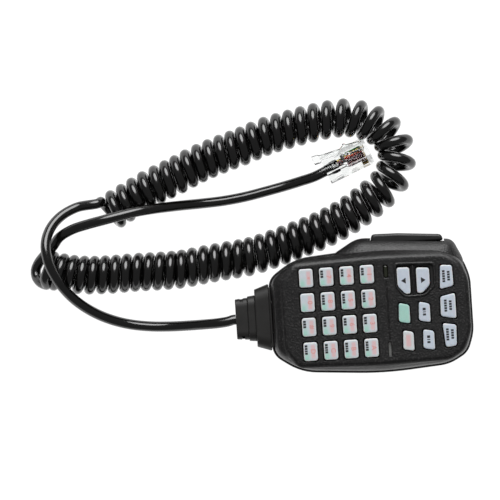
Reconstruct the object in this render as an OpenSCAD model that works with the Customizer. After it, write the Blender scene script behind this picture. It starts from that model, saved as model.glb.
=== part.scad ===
// Hand microphone with a keypad, a push-to-talk lever, a curly cord and a modular plug.
// Millimetres. The origin is the middle of the hanger stud's outer face, which the
// microphone lies on. +X runs from the cord end to the top end, +Y to the push-to-talk
// side, and +Z out of the keypad.

/* [Case] */
// Thickness of the moulded walls
wall = 2; // [1.8:0.1:2.2]
// Height of the flat back above the surface that the stud rests on
back_z = 5.5; // [5:0.1:5.7]
// Height of the joint between the two half shells
split_z = 18; // [17.8:0.1:18.2]
// Height of the keypad face
face_z = 31; // [30.8:0.1:31.4]

/* [Hanger] */
// Diameter of the stud's head
stud_d = 13; // [11:0.5:16]
// Thickness of the stud's head
stud_head_h = 2.2; // [1.8:0.1:2.6]
// Diameter of the stud's neck, which a hanger fork slides around
neck_d = 8; // [7:0.5:9]

/* [Keys] */
// Width of a keypad key along the case
key_w = 6.2; // [6:0.1:6.6]
// Width of a keypad key across the case
key_l = 8.3; // [8:0.1:8.6]
// Distance between keys along the case
key_pitch_x = 9.1; // [8.9:0.1:9.1]
// Distance between keys across the case
key_pitch_y = 10.97; // [10.8:0.01:11]
// How far the key caps stand out of the face
key_proud = 0.8; // [0.4:0.1:1.2]
// Gap between a key and the face around it
key_gap = 0.3; // [0.25:0.05:0.4]
// How far a key goes down when it is pressed
key_travel = 1; // [0.6:0.1:1]

/* [Push to talk] */
// Height of the lever's pad
lever_h = 9; // [7:0.5:9]
// Diameter of the lever's trunnions
trunnion_d = 2.4; // [2:0.1:2.4]

/* [Cord] */
// Diameter of the cord
cord_d = 4.6; // [4:0.1:4.6]
// Outer diameter of the curled stretch
curl_d = 17.6; // [16.6:0.1:17.6]

/* [Plug] */
// Width of the modular plug
plug_w = 11.68; // [11.4:0.01:11.8]
// Thickness of the modular plug
plug_h = 6.6; // [6.4:0.1:6.7]
// Length of the modular plug
plug_l = 21.5; // [21:0.1:22]
// Number of wires and contacts
ways = 8; // [4:2:8]

/* [Hidden] */
PAD_KEYS = ["key_1", "key_2", "key_3", "key_a", "key_4", "key_5", "key_6", "key_b",
            "key_7", "key_8", "key_9", "key_c", "key_star", "key_0", "key_hash", "key_d"];

// Each control key: its name, and its cap's outline
CONTROL_KEYS = [
    ["key_down", [[10, 6.5], [10, 18.4], [4.3, 18.6], [4.3, 10.3], [7.6, 6.5]]],
    ["key_up", [[12.9, 6.6], [15.4, 6.6], [18.8, 10.1], [18.8, 17.7], [12.9, 18.1]]],
    ["key_green", [[3.9, -5.7], [9, -6.8], [9, 1.6], [4.3, 2.8]]],
    ["key_f1", [[12.9, -5.7], [18.1, -6.8], [18.1, 1.6], [13.3, 2.8]]],
    ["key_red", [[5.1, -18.1], [10.1, -19.1], [10.1, -10.6], [5.5, -9.6]]],
    ["key_f2", [[14.1, -18.2], [19.3, -19.2], [19.3, -10.7], [14.5, -9.7]]],
    ["key_top_left", [[23.1, 7.7], [29.3, 8.9], [29.1, 18.2], [23.8, 18.6]]],
    ["key_top_middle", [[22.8, -4.4], [29.7, -5.8], [29.7, 5.7], [23, 4.4]]],
    ["key_top_right", [[24.2, -18.4], [29.1, -17.9], [29.4, -8.5], [23.3, -7.5]]],
];

$fn = 32;
CUT = 0.5;          // how far a cutter runs past the face that it opens
SKIN = 0.01;        // thickness of the plates that a shell's form is stretched between

// Half outlines, from the cord end to the top end: each point and how far its corner is cut
CASE_HALF = [[-53.3, 17], [-41, 25.5], [-4, 28.3], [25.5, 26.1], [34.2, 21.3], [37.3, 12.5]];
CASE_CUTS = [4.5, 7, 12, 4, 3.5, 3.5];
FACE_HALF = [[-46.6, 14.3], [-41.2, 21.8], [-4, 23], [25.5, 22.3], [31.3, 18.6], [34.3, 11]];
FACE_CUTS = [3, 3, 10, 3, 3, 3];
// The swelling on the push-to-talk side, whose edge passes inside the case
SHOULDER = [[-23, 4.5], [29.5, 4.5], [35.4, 19.1], [30.2, 30], [-12.4, 32.9], [-25, 25.5]];
SHOULDER_CUTS = [2, 2, 4, 3, 4, 4];

// Screw bosses: place, and radius in the front shell
CASE_SCREWS = [[-45.7, -12.3, 3.1], [-45.7, 12.3, 3.1], [32.4, -10.6, 2.3], [32.4, 10.6, 2.3]];
REAR_BOSS_R = 2.9;
SCREW_SEAT_Z = 11;
HANGER_SEAT_Z = 9;
BOARD_SCREWS = [[-44, 0], [-1.2, 0], [32.2, 0]];
BOARD_BOSS_R = 1.7;

// Heights inside the case
ceiling_z = face_z - wall;
board_z = 20;
board_t = 1.6;
mat_z = board_z + board_t;
mat_t = 0.8;
flange_top_z = ceiling_z - 0.15;
flange_t = 0.8;
flange_out = 0.5;
post_d = 4;
collar_bore = 5;
collar_d = 6.4;
pill_z = mat_z + key_travel + 0.1;

// Keypad: the first key is the upper left one, seen with the top end up
PAD_X0 = -9.05;
PAD_CUT = 1.15;
SLOT_PLACE = [-0.8, -17.5];
LENS_PLACE = [-0.6, 17.2];
SLOT_SIZE = [1.2, 6];
LENS_SIZE = [1.8, 5.5];
BEZEL = [[3.1, 9.8], [6.9, 4.9], [16.6, 4.9], [21.7, 9.7], [21.7, 20.3], [3.1, 21]];
BEZEL_H = 0.5;
BEZEL_W = 0.7;
GROOVE = [0.5, 27, 0.3];

// Push-to-talk lever and its switch
HINGE = [-4, 27.4];
LEVER_MID_Z = 17;
PAD_OUTLINE = [[-6.6, 29.4], [26.3, 29.4], [25.4, 32.4], [6, 34], [-5.8, 34.2]];
LEVER_ROOM = [[-6.9, 27.4], [26.7, 27.4], [26.7, 29.5], [24.7, 36], [-5.8, 36], [-6.9, 29.5]];
PUSH_X = 16;
plunger_d = 2.4;

// Cord end of the case
CORD_Z = 15;
BOOT_TIP_X = -68.8;
stub_end_x = -44.8;

// Routes of the cord, from the boot to the curl, along the curl, and on to the plug
MIC_TAIL = [[-68.8, 0, 15], [-69.6, 0, 15], [-72, -0.6, 14.9], [-76.4, -1.1, 14],
            [-82, -1.3, 11.6], [-89.4, -1.4, 7.7], [-98.3, -1.3, 4], [-107.3, -0.7, 2.5], [-116.3, 0.8, 2.8],
            [-125.8, 3.9, 5.4], [-134.4, 8.6, 9.6], [-142.2, 15.3, 14.8], [-147.8, 23.2, 19.6],
            [-151, 30.9, 20.8], [-151.9, 38.1, 19.6], [-149.6, 45.5, 15.4],
            [-144.2, 51.3, 11.8], [-137.2, 54.7, 10], [-130.4, 56.5, 9.8], [-127.6, 55.7, 10.4]];
CURL = [[-125.5, 49.5], [-120.8, 52.3], [-112.3, 56.8], [-101.9, 62], [-91.8, 66.1],
        [-81.5, 70.7], [-71.3, 74.3], [-60.9, 77.5], [-50.7, 81.1], [-40.5, 83.5],
        [-30.3, 85.6], [-20.3, 87], [-13.3, 87.2], [-5.8, 85.4], [0.9, 81.9], [6, 76.4],
        [8, 70.4], [7.3, 64.1], [4, 57.5], [-2.1, 52], [-9.2, 47], [-19.5, 41.2],
        [-29.8, 36.9], [-40.2, 33.5], [-50.4, 30.4], [-60.8, 27.8], [-71.4, 26.6],
        [-81.8, 25.4], [-92.1, 24.1], [-102.4, 23.9], [-112.9, 24], [-123.1, 23.8],
        [-133.5, 24.1], [-141.7, 25.2], [-148, 26.7], [-154.7, 28.7]];
PLUG_TAIL = [[-155.7, 31, 3], [-152.8, 34.3, 5.6], [-149, 37.7, 9.4], [-145.6, 41.8, 12.6],
             [-139.8, 44.9, 15.6], [-132.2, 46.9, 18.3], [-125.2, 48.3, 20],
             [-118.1, 49.7, 20], [-110.9, 51, 18.8], [-103.7, 51.8, 16], [-96.5, 52.3, 12],
             [-88.4, 52.7, 7.6], [-80.3, 53, 4.2], [-71.4, 53.5, 2.6], [-61.4, 54.7, 2.4],
             [-51.5, 56.6, 2.4], [-42.5, 58.5, 2.8], [-35.4, 60.2, 4.5], [-29.6, 61.7, 6.2]];
TUBE_SIDES = 10;
CURL_SIDES = 12;

// Plug: the middle of its rear face, the way it points, and how far it is rolled over
PLUG_REAR = [-24.3, 63.9, 6.6];
PLUG_TURN = 22.5;
PLUG_ROLL = -45;
CONTACT_PITCH = 1.02;
WIRE_D = 0.7;
CORD_IN_PLUG = 6.5;
LATCH_REST = 11;

case_color = "#2b2b2d";
rubber_color = "#242424";
key_color = "#dfe3ea";
metal_color = "#c9c9cc";
board_color = "#1f6b3a";
chip_color = "#18181a";
cord_color = "#161616";
clear_color = [0.85, 0.9, 0.92, 0.5];
wire_colors = ["black", "green", "yellow", "orange", "red", "brown", "blue", "white"];

// Outward normal of the edge from p to q, for a polygon that runs anticlockwise
function edge_normal(p, q) = let (e = q - p) [e[1], -e[0]] / norm(e);

// The polygon with each edge moved outwards by d
function grown(pts, d) = [
    for (i = [0:len(pts) - 1])
    let (n = len(pts),
         a = edge_normal(pts[(i + n - 1) % n], pts[i]),
         b = edge_normal(pts[i], pts[(i + 1) % n]))
    pts[i] + d * (a + b) / (1 + a * b)];

// The polygon with each corner cut back by its own length and bent round
function rounded(pts, cuts, steps = 4) = [
    for (i = [0:len(pts) - 1], s = [0:steps])
    let (n = len(pts),
         v = pts[i],
         a = pts[(i + n - 1) % n] - v,
         b = pts[(i + 1) % n] - v,
         cut = is_list(cuts) ? cuts[i] : cuts,
         p = v + a * cut / norm(a),
         q = v + b * cut / norm(b),
         t = s / steps)
    (1 - t) * (1 - t) * p + 2 * t * (1 - t) * v + t * t * q];

// Both halves of an outline that is the same on each side of the X axis, anticlockwise
function both_sides(half) = concat(
    [for (p = half) [p[0], -p[1]]],
    [for (i = [len(half) - 1:-1:0]) half[i]]);
function both_cuts(cuts) = concat(cuts, [for (i = [len(cuts) - 1:-1:0]) cuts[i]]);
function middle(pts) = [for (axis = [0, 1]) [for (p = pts) p[axis]] * [for (p = pts) 1] / len(pts)];
function rectangle(size) = [
    [-size[0], -size[1]] / 2, [size[0], -size[1]] / 2, size / 2, [-size[0], size[1]] / 2];
function moved(pts, place) = [for (p = pts) p + place];

CASE = both_sides(CASE_HALF);
FACE = both_sides(FACE_HALF);
CASE_CUT = both_cuts(CASE_CUTS);
FACE_CUT = both_cuts(FACE_CUTS);
function case_at(inset) = rounded(grown(CASE, -inset), CASE_CUT);
function face_at(inset) = rounded(grown(FACE, -inset), FACE_CUT);
function shoulder_at(inset) = rounded(grown(SHOULDER, -inset), SHOULDER_CUTS);

// A solid stretched between outlines that lie at heights, from the lowest to the highest
module stretched(levels) hull() for (i = [0:len(levels) - 1])
    translate([0, 0, levels[i][0] - (i == 0 ? 0 : SKIN)])
    linear_extrude(SKIN)
    polygon(levels[i][1]);

module prism(z0, z1, pts) translate([0, 0, z0]) linear_extrude(z1 - z0) polygon(pts);
module post(place, z0, z1, d) translate([place[0], place[1], z0]) cylinder(d = d, h = z1 - z0);
module block(low, high) translate(low) cube(high - low);
// A slab between two places along X, with its outline given in Y and Z
module slab_x(x0, x1, pts)
    translate([x0, 0, 0]) rotate([90, 0, 90]) linear_extrude(x1 - x0) polygon(pts);
module rod(p, q, d) {
    run = q - p;
    translate(p)
    rotate([0, acos(run[2] / norm(run)), atan2(run[1], run[0])])
    cylinder(d = d, h = norm(run));
}

// A tube swept along points, as flat rings square to the way it runs
function along(path, i) = path[min(i + 1, len(path) - 1)] - path[max(i - 1, 0)];
function ring(p, run, r, sides) =
    let (t = run / norm(run),
         side = cross([0, 0, 1], t) / norm(cross([0, 0, 1], t)),
         up = cross(t, side))
    [for (k = [0:sides - 1]) p + r * (cos(360 * k / sides) * side + sin(360 * k / sides) * up)];
module tube(path, r, sides) {
    last = len(path) - 1;
    points = [for (i = [0:last]) each ring(path[i], along(path, i), r, sides)];
    walls = [for (i = [0:last - 1], k = [0:sides - 1])
        let (a = i * sides + k, b = i * sides + (k + 1) % sides)
        each [[a, a + sides, b + sides], [a, b + sides, b]]];
    start = [for (k = [0:sides - 1]) k];
    end = [for (k = [sides - 1:-1:0]) last * sides + k];
    polyhedron(points, concat([start], walls, [end]));
}

// Outlines of the keys
function pad_cap(i) = moved(rectangle([key_w, key_l]),
    [PAD_X0 - floor(i / 4) * key_pitch_x, (1.5 - i % 4) * key_pitch_y]);
ALL_CAPS = concat([for (i = [0:15]) pad_cap(i)], [for (key = CONTROL_KEYS) key[1]]);

// A key: its cap, the flange that keeps it in the case, and its post down to the board
module key(cap) color(key_color) {
    prism(flange_top_z, face_z + key_proud, rounded(cap, PAD_CUT, 3));
    prism(flange_top_z - flange_t, flange_top_z, rounded(grown(cap, flange_out), PAD_CUT, 3));
    post(middle(cap), pill_z, flange_top_z - flange_t, post_d);
}

// The slots and holes that go through the face
module face_openings() {
    for (cap = ALL_CAPS)
        prism(ceiling_z - CUT, face_z + 1, rounded(grown(cap, key_gap), PAD_CUT, 3));
    prism(ceiling_z - CUT, face_z + CUT, rounded(moved(rectangle(SLOT_SIZE), SLOT_PLACE), 0.5));
    prism(ceiling_z - CUT, face_z + CUT, rounded(moved(rectangle(LENS_SIZE), LENS_PLACE), 0.8));
    translate([LENS_PLACE[0], 0, face_z]) cube([GROOVE[0], GROOVE[1], 2 * GROOVE[2]], center = true);
}

// The room for the lever's pad through the side, shared by both shells
module lever_opening()
    prism(LEVER_MID_Z - lever_h / 2 - 0.4, LEVER_MID_Z + lever_h / 2 + 0.4, LEVER_ROOM);

// The room for the boot's neck and flange through the cord end, shared by both shells
module boot_opening() {
    block([-54.3, -7, 11.4], [-48.2, 7, 19.1]);
    block([-50, -8.6, 10.8], [-48.2, 8.6, 19.7]);
}

module front_shell() color(case_color) difference() {
    union() {
        difference() {
            union() {
                stretched([[split_z, case_at(0.9)], [25, case_at(1.1)], [28.4, case_at(2)],
                           [face_z - 0.9, face_at(-1.7)], [face_z, face_at(0)]]);
                stretched([[split_z, shoulder_at(0)], [21, shoulder_at(0.8)],
                           [23.5, shoulder_at(2.6)], [25.5, shoulder_at(6)]]);
            }
            stretched([[split_z - CUT, case_at(0.9 + wall)], [26, case_at(1.1 + wall)],
                       [ceiling_z, face_at(-0.8)]]);
            stretched([[split_z - CUT, shoulder_at(wall)], [21, shoulder_at(0.8 + wall)],
                       [23.5, shoulder_at(3.4 + wall)]]);
        }
        for (screw = CASE_SCREWS)
            post(screw, split_z, ceiling_z + CUT, 2 * screw[2]);
        for (screw = BOARD_SCREWS)
            post(screw, mat_z, ceiling_z + CUT, 2 * BOARD_BOSS_R);
        block([-7, 24.9, 21.8], [-1, 28.7, 24]);
        difference() {
            prism(face_z - CUT, face_z + BEZEL_H, rounded(BEZEL, 2));
            prism(face_z - 1, face_z + 1, rounded(grown(BEZEL, -BEZEL_W), 1.6));
        }
    }
    face_openings();
    lever_opening();
    boot_opening();
    for (screw = CASE_SCREWS)
        post(screw, split_z - CUT, 25, 2.6);
    for (screw = BOARD_SCREWS)
        post(screw, mat_z - CUT, 27, 2);
    post(HINGE, 21, 23.4, trunnion_d + 0.2);
}

module rear_shell() color(case_color) difference() {
    union() {
        difference() {
            union() {
                stretched([[back_z, case_at(7)], [back_z + 1.5, case_at(4.2)], [10, case_at(1.7)],
                           [14, case_at(0.3)], [split_z, case_at(0)]]);
                stretched([[7.5, shoulder_at(5)], [10, shoulder_at(2)], [14, shoulder_at(0.4)],
                           [split_z, shoulder_at(0)]]);
            }
            stretched([[back_z + wall, case_at(8.2)], [10.5, case_at(4.2)],
                       [14.5, case_at(0.4 + wall)], [split_z + CUT, case_at(wall)]]);
            stretched([[10, shoulder_at(6)], [12, shoulder_at(1 + wall)],
                       [split_z + CUT, shoulder_at(wall)]]);
        }
        for (screw = CASE_SCREWS)
            post(screw, 10, split_z, 2 * REAR_BOSS_R);
        post([0, 0], back_z + 1, HANGER_SEAT_Z, 9);
        block([-7, 25.2, 9.6], [-1, 29.5, 12.2]);
    }
    lever_opening();
    boot_opening();
    for (screw = CASE_SCREWS) {
        post(screw, back_z - CUT, SCREW_SEAT_Z, 4.6);
        post(screw, back_z, split_z + CUT, 2.9);
    }
    post([0, 0], back_z - CUT, HANGER_SEAT_Z + CUT, 3.3);
    post(HINGE, 10.4, 13, trunnion_d + 0.2);
}

module case_screws() color(metal_color) for (screw = CASE_SCREWS) difference() {
    union() {
        post(screw, SCREW_SEAT_Z - 1.6, SCREW_SEAT_Z, 4.2);
        post(screw, SCREW_SEAT_Z, 24.5, 2.5);
    }
    translate([screw[0], screw[1], SCREW_SEAT_Z - 1.6]) {
        cube([2.6, 0.6, 1.6], center = true);
        cube([0.6, 2.6, 1.6], center = true);
    }
}

module hanger_stud() color(case_color) difference() {
    union() {
        post([0, 0], 0, stud_head_h, stud_d);
        post([0, 0], stud_head_h, back_z, neck_d);
    }
    post([0, 0], 1.5, back_z + CUT, 3.1);
}

// The stud's screw comes from inside the case, so that the stud's face is whole
module hanger_screw() color(metal_color) difference() {
    union() {
        post([0, 0], HANGER_SEAT_Z, HANGER_SEAT_Z + 1.8, 5.8);
        post([0, 0], 1.7, HANGER_SEAT_Z, 3);
    }
    translate([0, 0, HANGER_SEAT_Z + 1.8]) {
        cube([3.4, 0.8, 1.6], center = true);
        cube([0.8, 3.4, 1.6], center = true);
    }
}

// The lever: its pad, its hinge boss and trunnions, the rib on the switch, and its stop
module ptt_lever() color(rubber_color) {
    low = LEVER_MID_Z - lever_h / 2;
    high = LEVER_MID_Z + lever_h / 2;
    prism(low, high, rounded(PAD_OUTLINE, 1.5));
    post(HINGE, low, high, 4.4);
    block([-6, 27.9, low], [-2, 29.9, high]);
    post(HINGE, 10.8, 23.2, trunnion_d);
    block([PUSH_X - 1, 25.35, 15.5], [PUSH_X + 1, 29.9, 18.5]);
    block([22, 25.9, 14], [24, 29.9, 19]);
    block([23, 25.9, 15], [27.6, 27.1, 19]);
}

module ptt_switch() color(chip_color) difference() {
    block([PUSH_X - 3, 19.1, 14.5], [PUSH_X + 3, 23.1, board_z]);
    rod([PUSH_X, 20.3, 17], [PUSH_X, 23.1 + CUT, 17], plunger_d + 0.2);
}

module ptt_plunger() color("#8a2b20") rod([PUSH_X, 21.9, 17], [PUSH_X, 25.2, 17], plunger_d);

// The board's outline, held back from the boot at the cord end
module board_shape() difference() {
    polygon(case_at(3.4));
    translate([-61, -30]) square([13, 60]);
    for (screw = CASE_SCREWS)
        translate([screw[0], screw[1]]) circle(r = screw[2] + 0.4);
}

LEDS = concat(
    [for (x = [-31.8, -13.6], y = [-10.97, 0, 10.97]) [x, y]],
    [[11.5, 12], [11.1, -2], [12.2, -14.4], [26.3, 6.7], [26.4, -6.6]]);

module keypad_mat() color(key_color) {
    translate([0, 0, mat_z]) linear_extrude(mat_t) difference() {
        board_shape();
        for (screw = BOARD_SCREWS)
            translate(screw) circle(r = BOARD_BOSS_R + 0.3);
        for (cap = ALL_CAPS)
            translate(middle(cap)) circle(d = collar_bore);
        for (led = LEDS)
            translate(led) square([1.2, 2], center = true);
        translate(SLOT_PLACE) circle(d = 8.2);
        translate(LENS_PLACE) square([3.6, 7.4], center = true);
    }
    for (cap = ALL_CAPS) difference() {
        post(middle(cap), mat_z + mat_t, 26.8, collar_d);
        post(middle(cap), mat_z, 27, collar_bore);
    }
}

module main_board() color(board_color) translate([0, 0, board_z]) linear_extrude(board_t) difference() {
    board_shape();
    for (screw = BOARD_SCREWS)
        translate(screw) circle(r = 1.1);
}

module board_screws() color(metal_color) for (screw = BOARD_SCREWS) {
    post(screw, board_z - 1.2, board_z, 3.4);
    post(screw, board_z, 26, 1.9);
}

module backlight_leds() color("#e8f4ff") for (led = LEDS)
    translate([led[0], led[1], mat_z + 0.3]) cube([0.8, 1.6, 0.6], center = true);

module controller_chip() color(chip_color) block([-17, -5, 18.4], [-7, 5, board_z]);

// Under the board: each chip's place, size along X and Y, and height
CHIPS = [[8, -10, 5, 6, 1.4], [8, 9, 4, 5, 1.2], [24, -5, 5, 5, 1.3], [-26, 12, 4, 5, 1.2],
         [-26, -12, 3, 7, 2.5], [24, 8, 3, 3, 1]];
module small_chips() color(chip_color) for (chip = CHIPS)
    translate([chip[0] - chip[2] / 2, chip[1] - chip[3] / 2, board_z - chip[4]])
    cube([chip[2], chip[3], chip[4]]);

module board_socket() color("#e9e4d4") block([-37, -4.2, 15.4], [-31, 4.2, board_z]);

module sound_capsule() color(metal_color) post(SLOT_PLACE, 24.3, 28.3, 6);

module capsule_holder() color(rubber_color) difference() {
    post(SLOT_PLACE, mat_z, ceiling_z, 7.6);
    post(SLOT_PLACE, 24.3, ceiling_z + CUT, 6.2);
}

module status_lens() color("#4d5238") {
    prism(flange_top_z, face_z - 0.1, rounded(moved(rectangle(LENS_SIZE - [0.2, 0.2]), LENS_PLACE), 0.7));
    prism(flange_top_z - flange_t, flange_top_z, rounded(moved(rectangle([2.8, 6.6]), LENS_PLACE), 0.8));
}

module status_led() color("#f2f2e0")
    prism(mat_z, mat_z + 1.1, moved(rectangle([1.6, 3.2]), LENS_PLACE));

// Leads fan out from the cord's end to two rows in the socket
module inner_leads() for (k = [0:ways - 1]) color(wire_colors[k]) {
    turn = 360 * (k + 0.5) / ways;
    row = floor(k / (ways / 2));
    column = k % (ways / 2) - (ways / 2 - 1) / 2;
    rod([stub_end_x + 0.2, 1.45 * cos(turn), CORD_Z + 1.45 * sin(turn)],
        [-37.2, (row == 0 ? -1 : 1) * column * 1.6, row == 0 ? 18.6 : 16.9], 0.8);
}

module cord_stub() color(cord_color)
    rod([BOOT_TIP_X, 0, CORD_Z], [stub_end_x, 0, CORD_Z], cord_d);

module cord_tie() color("#f0f0f0") difference() {
    union() {
        rod([-47.5, 0, CORD_Z], [-45.5, 0, CORD_Z], cord_d + 2);
        block([-47.7, -2, 10], [-45.3, 2, 12.2]);
    }
    rod([-48.3, 0, CORD_Z], [-45.1, 0, CORD_Z], cord_d + 0.1);
}

function boot_outline(w, h) = moved(rounded(rectangle([w, h]), min(w, h) / 3), [0, CORD_Z]);
module strain_relief_boot() color(rubber_color) difference() {
    union() {
        slab_x(-49.7, -48.5, boot_outline(16.8, 8.4));
        slab_x(-53.4, -49.7, boot_outline(13.6, 7.2));
        hull() {
            slab_x(-53.9, -53.4, boot_outline(29.8, 18));
            slab_x(-59.9, -59.4, boot_outline(26, 16));
        }
        slab_x(-63.3, -59.9, boot_outline(20.6, 13));
        slab_x(BOOT_TIP_X, -63.3, boot_outline(18.4, 11));
    }
    rod([BOOT_TIP_X - CUT, 0, CORD_Z], [-48.3, 0, CORD_Z], cord_d + 0.1);
    for (side = [-1, 1])
        translate([-65.9, side * 8.7, CORD_Z]) cube([1.2, 2.4, 7], center = true);
}

module cord_mic_tail() color(cord_color) tube(MIC_TAIL, cord_d / 2, TUBE_SIDES);
module cord_curl() color(cord_color)
    tube([for (p = CURL) [p[0], p[1], curl_d / 2]], curl_d / 2, CURL_SIDES);
module cord_plug_tail() color(cord_color) {
    way = [cos(PLUG_TURN), sin(PLUG_TURN), 0];
    tube(concat(PLUG_TAIL, [PLUG_REAR, PLUG_REAR + (CORD_IN_PLUG - 0.3) * way]), cord_d / 2,
         TUBE_SIDES);
}

// Puts a plug's piece where the plug lies: along +X from its rear, latch side up
module at_plug() translate(PLUG_REAR) rotate([0, 0, PLUG_TURN]) rotate([PLUG_ROLL, 0, 0]) children();
function way_y(k) = (k - (ways - 1) / 2) * CONTACT_PITCH;

module plug_body() at_plug() color(clear_color) difference() {
    union() {
        block([0, -plug_w / 2, -plug_h / 2], [plug_l, plug_w / 2, plug_h / 2]);
        block([plug_l - 3, -3, plug_h / 2], [plug_l - 0.8, 3, plug_h / 2 + 0.8]);
    }
    block([-CUT, -4.3, -2.45], [9.5, 4.3, 2.45]);
    block([9, -4.3, -0.6], [plug_l - 2.5, 4.3, 0.6]);
    for (k = [0:ways - 1])
        translate([0, way_y(k) - 0.25, 0])
            block([plug_l - 5.2, 0, -plug_h], [plug_l - 2, 0.5, 0]);
    block([plug_l - 1, -plug_w, -plug_h], [plug_l + CUT, plug_w, -plug_h / 2 + 0.8]);
}

// The latch: an arm that springs away from the plug, with two catches and a wider thumb end
module plug_latch() at_plug() color(clear_color)
    translate([plug_l - 2, 0, plug_h / 2 + 1.55]) rotate([0, LATCH_REST, 0]) {
        block([-8, -3.1, -0.6], [0, 3.1, 0.6]);
        rod([0, -3.1, 0], [0, 3.1, 0], 1.2);
        block([-9.5, -2, -0.6], [-8, 2, 0.6]);
        block([-20, -1.6, -0.6], [-9.5, 1.6, 0.6]);
        block([-23, -2.4, -0.6], [-20, 2.4, 0.6]);
        block([-8, -3.1, 0.6], [-6.8, -1.9, 1.4]);
        block([-8, 1.9, 0.6], [-6.8, 3.1, 1.4]);
    }

module plug_contacts() at_plug() color("#caa64a") for (k = [0:ways - 1])
    translate([0, way_y(k) - 0.17, 0])
        block([plug_l - 5, 0, -plug_h / 2 + 0.3], [plug_l - 2.2, 0.34, -0.65]);

// Wires fan out from two rows in the cord to one row at the contacts
module plug_wires() at_plug() for (k = [0:ways - 1]) color(wire_colors[k]) {
    start = [CORD_IN_PLUG, (floor(k / 2) - (ways / 2 - 1) / 2) * 0.95, k % 2 == 0 ? 0.75 : -0.75];
    bend = [10, way_y(k), 0];
    rod(start, bend, WIRE_D);
    rod(bend, [plug_l - 2.8, way_y(k), 0], WIRE_D);
}

front_shell();
rear_shell();
case_screws();
hanger_stud();
hanger_screw();
ptt_lever();
ptt_switch();
ptt_plunger();
keypad_mat();
main_board();
board_screws();
backlight_leds();
controller_chip();
small_chips();
board_socket();
sound_capsule();
capsule_holder();
status_lens();
status_led();
inner_leads();
cord_stub();
cord_tie();
strain_relief_boot();
cord_mic_tail();
cord_curl();
cord_plug_tail();
plug_body();
plug_latch();
plug_contacts();
plug_wires();
for (i = [0:len(PAD_KEYS) - 1])
    key(pad_cap(i));
for (k = CONTROL_KEYS)
    key(k[1]);
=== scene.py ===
"""Hand microphone with a keypad, a push-to-talk lever, a curly cord and a clear modular plug."""
import math

import bmesh
import bpy
import numpy as np
from mathutils import Matrix, Vector


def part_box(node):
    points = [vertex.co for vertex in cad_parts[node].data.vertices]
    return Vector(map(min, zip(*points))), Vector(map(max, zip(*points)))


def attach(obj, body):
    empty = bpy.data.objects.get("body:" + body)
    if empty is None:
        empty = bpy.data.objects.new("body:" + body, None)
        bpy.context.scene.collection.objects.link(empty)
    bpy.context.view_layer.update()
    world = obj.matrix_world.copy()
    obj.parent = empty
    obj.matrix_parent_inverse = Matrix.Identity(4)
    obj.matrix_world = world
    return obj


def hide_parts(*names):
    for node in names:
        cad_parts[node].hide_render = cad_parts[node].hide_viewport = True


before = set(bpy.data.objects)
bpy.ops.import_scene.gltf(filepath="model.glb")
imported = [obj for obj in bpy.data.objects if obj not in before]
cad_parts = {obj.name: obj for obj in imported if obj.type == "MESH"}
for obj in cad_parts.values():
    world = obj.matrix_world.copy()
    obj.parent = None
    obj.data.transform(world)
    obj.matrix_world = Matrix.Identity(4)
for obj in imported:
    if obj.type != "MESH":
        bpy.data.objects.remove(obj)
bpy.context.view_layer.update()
MM = 0.001

# ---------------------------------------------------------------- the case's measures, in mm
CASE_HALF = [[-53.3, 17], [-41, 25.5], [-4, 28.3], [25.5, 26.1], [34.2, 21.3], [37.3, 12.5]]
CASE_CUTS = [4.5, 7, 12, 4, 3.5, 3.5]
FACE_HALF = [[-46.6, 14.3], [-41.2, 21.8], [-4, 23], [25.5, 22.3], [31.3, 18.6], [34.3, 11]]
FACE_CUTS = [3, 3, 10, 3, 3, 3]
SHOULDER = [[-23, 4.5], [29.5, 4.5], [35.4, 19.1], [30.2, 30], [-12.4, 32.9], [-25, 25.5]]
SHOULDER_CUTS = [2, 2, 4, 3, 4, 4]
SPLIT_Z = 18
FACE_Z = 31
CEILING_Z = 29
MAT_Z = 21.6
CASE_SCREWS = [[-45.7, -12.3, 3.1], [-45.7, 12.3, 3.1], [32.4, -10.6, 2.3], [32.4, 10.6, 2.3]]
BOARD_SCREWS = [[-44, 0], [-1.2, 0], [32.2, 0]]
SCREW_SEAT_Z = 11
KEY_TOP = 31.8
KEY_GAP = 0.3
FLANGE_TOP_Z = 28.85
PAD_KEYS = ["key_1", "key_2", "key_3", "key_a", "key_4", "key_5", "key_6", "key_b",
            "key_7", "key_8", "key_9", "key_c", "key_star", "key_0", "key_hash", "key_d"]
PAD_SIGNS = "123A456B789C*0#D"
# The bars that stand for the word on a key, by the key's place in its row
PAD_BARS = [[0.95, 0.9, 0.95], [1.0, 0.85, 0.95, 0.85], [0.9, 1.0, 0.9], [0.95, 0.9, 0.7, 0.95]]
PAD_SIZE = [6.2, 8.3]
PAD_X0 = -9.05
PAD_PITCH = [9.1, 10.97]
PAD_CUT = 1.3
CONTROL_KEYS = {
    "key_down": [[10, 6.5], [10, 18.4], [4.3, 18.6], [4.3, 10.3], [7.6, 6.5]],
    "key_up": [[12.9, 6.6], [15.4, 6.6], [18.8, 10.1], [18.8, 17.7], [12.9, 18.1]],
    "key_green": [[3.9, -5.7], [9, -6.8], [9, 1.6], [4.3, 2.8]],
    "key_f1": [[12.9, -5.7], [18.1, -6.8], [18.1, 1.6], [13.3, 2.8]],
    "key_red": [[5.1, -18.1], [10.1, -19.1], [10.1, -10.6], [5.5, -9.6]],
    "key_f2": [[14.1, -18.2], [19.3, -19.2], [19.3, -10.7], [14.5, -9.7]],
    "key_top_left": [[23.1, 7.7], [29.3, 8.9], [29.1, 18.2], [23.8, 18.6]],
    "key_top_middle": [[22.8, -4.4], [29.7, -5.8], [29.7, 5.7], [23, 4.4]],
    "key_top_right": [[24.2, -18.4], [29.1, -17.9], [29.4, -8.5], [23.3, -7.5]],
}
SLOT_PLACE = [-0.8, -17.5]
SLOT_SIZE = [1.2, 6]
LENS_PLACE = [-0.6, 17.2]
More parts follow.
